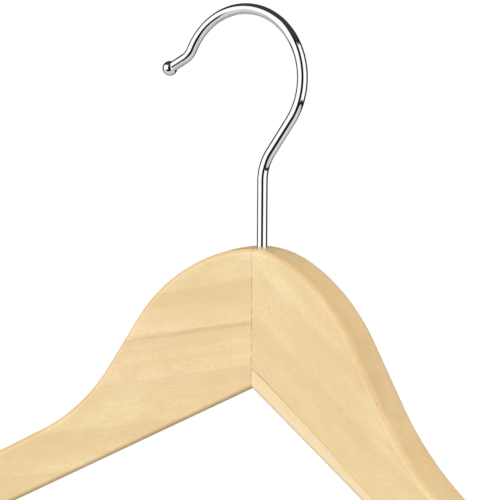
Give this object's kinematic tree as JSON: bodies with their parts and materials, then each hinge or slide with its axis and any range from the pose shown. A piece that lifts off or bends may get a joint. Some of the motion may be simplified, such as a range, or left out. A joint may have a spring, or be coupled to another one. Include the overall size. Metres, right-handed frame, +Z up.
{
  "type": "clothes hanger",
  "caption": "Contoured wooden clothes hanger: two mitred, forward-swept flat arms and a swivelling chromed wire hook with a ball tip.",
  "frame": {"origin": "where the hook rests on a rail: the highest point of the inside of its loop, on the wire's middle plane", "axes": "+X along the hanger towards the arm on the far side from the hook's mouth, +Y along the rail, away from the side the arms sweep to, +Z up; the stem's axis is vertical at x = 9.6 mm"},
  "size_m": [0.4462, 0.0609, 0.2655],
  "materials": {
    "wood": "pale maple-like hardwood under clear satin lacquer",
    "chrome": "bright polished chrome plate",
    "zinc_steel": "bright zinc plate",
    "nylon": "natural nylon"
  },
  "bodies": {
    "hook": {"hook_wire": "chrome", "hook_ball": "chrome", "hook_washer": "zinc_steel", "lock_nut": "zinc_steel", "nut_insert": "nylon"},
    "wooden_body": {"left_arm": "wood", "right_arm": "wood"}
  },
  "joints": [
    {"name": "hook_swivel", "type": "hinge", "parent": "hook", "child": "wooden_body", "pos_m": [0.0096, 0, -0.0883], "axis": [0, 0, 1], "continuous": true}
  ]
}
